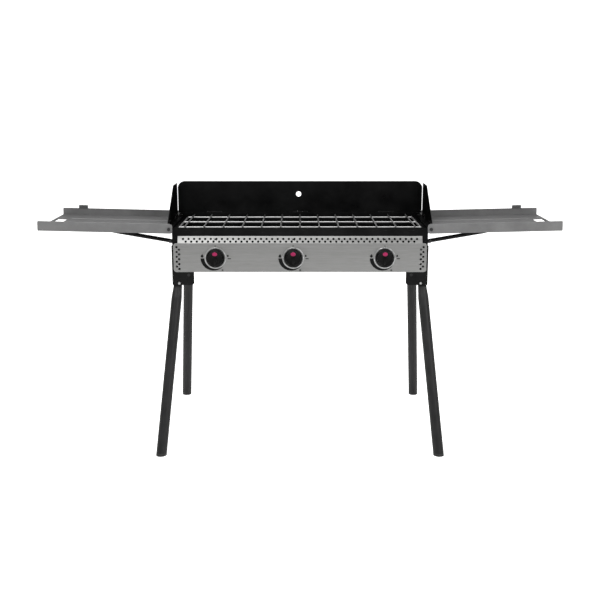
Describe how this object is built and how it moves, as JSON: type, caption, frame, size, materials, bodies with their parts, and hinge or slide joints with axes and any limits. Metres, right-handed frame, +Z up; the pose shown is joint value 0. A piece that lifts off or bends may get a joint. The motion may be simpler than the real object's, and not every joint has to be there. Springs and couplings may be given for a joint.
{
  "type": "folding camp stove",
  "caption": "Free-standing folding gas camp stove: steel firebox with wire grate, knob panel, fold-down windscreens, side shelves on bails, splayed folding legs.",
  "frame": {"origin": "on the ground, under the centre of the firebox", "axes": "+X to the right seen from the front, +Y to the back, +Z up; the knobs face -Y"},
  "size_m": [1.8844, 0.7298, 0.935],
  "materials": {
    "black_enamel": "semi-gloss black enamel",
    "galvanised_sheet": "plain zinc-coated sheet",
    "stainless": "brushed stainless steel, grain along X",
    "bracket_paint": "satin black paint",
    "black_tube": "gloss black paint on tube",
    "leg_paint": "satin black powder coat",
    "foot_plastic": "matt black moulding",
    "cast_iron": "raw cast iron",
    "brass": "turned brass",
    "pipe_steel": "plated steel",
    "pointer_red": "red insert",
    "knob_plastic": "black moulded plastic",
    "black_print": "printed black arc",
    "zinc": "bright zinc plate",
    "black_bolts": "black oxide",
    "grate_steel": "dark enamelled wire",
    "tab_plastic": "black moulding",
    "shelf_steel": "grey coated steel"
  },
  "bodies": {
    "box": {"bail_bolts": "black_bolts", "bracket_bolts": "black_bolts", "burner_left": "cast_iron", "burner_middle": "cast_iron", "burner_rails": "galvanised_sheet", "burner_right": "cast_iron", "control_panel": "stainless", "dial_arcs": "black_print", "end_bracket_left": "bracket_paint", "end_bracket_right": "bracket_paint", "firebox_shell": "black_enamel", "gas_manifold": "pipe_steel", "gas_valve_left": "brass", "gas_valve_middle": "brass", "gas_valve_right": "brass", "heat_shield": "galvanised_sheet", "hinge_pins": "black_bolts", "knob_bezels": "stainless", "leg_channels": "black_enamel", "leg_pivot_bolts": "black_bolts", "lock_buttons": "zinc", "mixing_tube_left": "galvanised_sheet", "mixing_tube_middle": "galvanised_sheet", "mixing_tube_right": "galvanised_sheet", "panel_screws": "zinc", "rear_hinges": "black_enamel", "shelf_ears_left": "black_enamel", "shelf_ears_right": "black_enamel", "shelf_pivot_bolts": "black_bolts", "side_hinges_left": "black_enamel", "side_hinges_right": "black_enamel", "support_lugs_left": "black_tube", "support_lugs_right": "black_tube"},
    "leg_front_left": {"leg_front_left": "leg_paint", "foot_cap_front_left": "foot_plastic"},
    "leg_rear_left": {"leg_rear_left": "leg_paint", "foot_cap_rear_left": "foot_plastic"},
    "leg_front_right": {"leg_front_right": "leg_paint", "foot_cap_front_right": "foot_plastic"},
    "leg_rear_right": {"leg_rear_right": "leg_paint", "foot_cap_rear_right": "foot_plastic"},
    "shelf_left": {"shelf_left": "shelf_steel", "shelf_tab_left": "tab_plastic"},
    "shelf_support_left": {"shelf_support_left": "black_tube"},
    "windscreen_left": {"windscreen_left": "black_enamel"},
    "shelf_right": {"shelf_right": "shelf_steel", "shelf_tab_right": "tab_plastic"},
    "shelf_support_right": {"shelf_support_right": "black_tube"},
    "windscreen_right": {"windscreen_right": "black_enamel"},
    "windscreen_rear": {"windscreen_rear": "black_enamel"},
    "cooking_grate": {"cooking_grate": "grate_steel"},
    "valve_stem_left": {"valve_stem_left": "pipe_steel"},
    "knob_left": {"knob_left": "knob_plastic", "knob_pointer_left": "pointer_red"},
    "valve_stem_middle": {"valve_stem_middle": "pipe_steel"},
    "knob_middle": {"knob_middle": "knob_plastic", "knob_pointer_middle": "pointer_red"},
    "valve_stem_right": {"valve_stem_right": "pipe_steel"},
    "knob_right": {"knob_right": "knob_plastic", "knob_pointer_right": "pointer_red"}
  },
  "joints": [
    {"name": "fold_leg_front_left", "type": "hinge", "parent": "box", "child": "leg_front_left", "pos_m": [-0.4355, -0.15, 0.632], "axis": [0, -0.9555, 0.2948], "range_deg": [0, 94]},
    {"name": "fold_leg_rear_left", "type": "hinge", "parent": "box", "child": "leg_rear_left", "pos_m": [-0.436, 0.15, 0.632], "axis": [0, -0.9555, -0.2948], "range_deg": [0, 93]},
    {"name": "fold_leg_front_right", "type": "hinge", "parent": "box", "child": "leg_front_right", "pos_m": [0.4355, -0.15, 0.632], "axis": [0, 0.9555, -0.2948], "range_deg": [0, 79]},
    {"name": "fold_leg_rear_right", "type": "hinge", "parent": "box", "child": "leg_rear_right", "pos_m": [0.436, 0.15, 0.632], "axis": [0, 0.9555, 0.2948], "range_deg": [0, 78]},
    {"name": "fold_shelf_left", "type": "hinge", "parent": "box", "child": "shelf_left", "pos_m": [-0.471, 0, 0.7985], "axis": [0, -1, 0], "range_deg": [0, 70]},
    {"name": "swing_support_left", "type": "hinge", "parent": "box", "child": "shelf_support_left", "pos_m": [-0.4725, 0, 0.75], "axis": [0, -1, 0], "range_deg": [0, 80]},
    {"name": "fold_windscreen_left", "type": "hinge", "parent": "box", "child": "windscreen_left", "pos_m": [-0.482, 0, 0.8085], "axis": [0, 1, 0], "range_deg": [0, 90]},
    {"name": "fold_shelf_right", "type": "hinge", "parent": "box", "child": "shelf_right", "pos_m": [0.471, 0, 0.7985], "axis": [0, 1, 0], "range_deg": [0, 70]},
    {"name": "swing_support_right", "type": "hinge", "parent": "box", "child": "shelf_support_right", "pos_m": [0.4725, 0, 0.75], "axis": [0, 1, 0], "range_deg": [0, 80]},
    {"name": "fold_windscreen_right", "type": "hinge", "parent": "box", "child": "windscreen_right", "pos_m": [0.482, 0, 0.8085], "axis": [0, -1, 0], "range_deg": [0, 90]},
    {"name": "fold_windscreen_rear", "type": "hinge", "parent": "box", "child": "windscreen_rear", "pos_m": [0, 0.182, 0.8135], "axis": [1, 0, 0], "range_deg": [0, 90]},
    {"name": "lift_cooking_grate", "type": "slide", "parent": "box", "child": "cooking_grate", "axis": [0, 0, 1], "range_m": [0, 0.2]},
    {"name": "turn_knob_left", "type": "hinge", "parent": "box", "child": "valve_stem_left", "pos_m": [-0.3055, -0.2, 0.695], "axis": [0, -1, 0], "range_deg": [0, 240]},
    {"name": "push_knob_left", "type": "slide", "parent": "valve_stem_left", "child": "knob_left", "axis": [0, 1, 0], "range_m": [0, 0.003]},
    {"name": "turn_knob_middle", "type": "hinge", "parent": "box", "child": "valve_stem_middle", "pos_m": [-0.0245, -0.2, 0.695], "axis": [0, -1, 0], "range_deg": [0, 240]},
    {"name": "push_knob_middle", "type": "slide", "parent": "valve_stem_middle", "child": "knob_middle", "axis": [0, 1, 0], "range_m": [0, 0.003]},
    {"name": "turn_knob_right", "type": "hinge", "parent": "box", "child": "valve_stem_right", "pos_m": [0.3055, -0.2, 0.695], "axis": [0, -1, 0], "range_deg": [0, 240]},
    {"name": "push_knob_right", "type": "slide", "parent": "valve_stem_right", "child": "knob_right", "axis": [0, 1, 0], "range_m": [0, 0.003]}
  ],
  "couplings": [
    {"joint": "swing_support_left", "follows": "fold_shelf_left", "ratio": 1.12},
    {"joint": "swing_support_right", "follows": "fold_shelf_right", "ratio": 1.12}
  ]
}
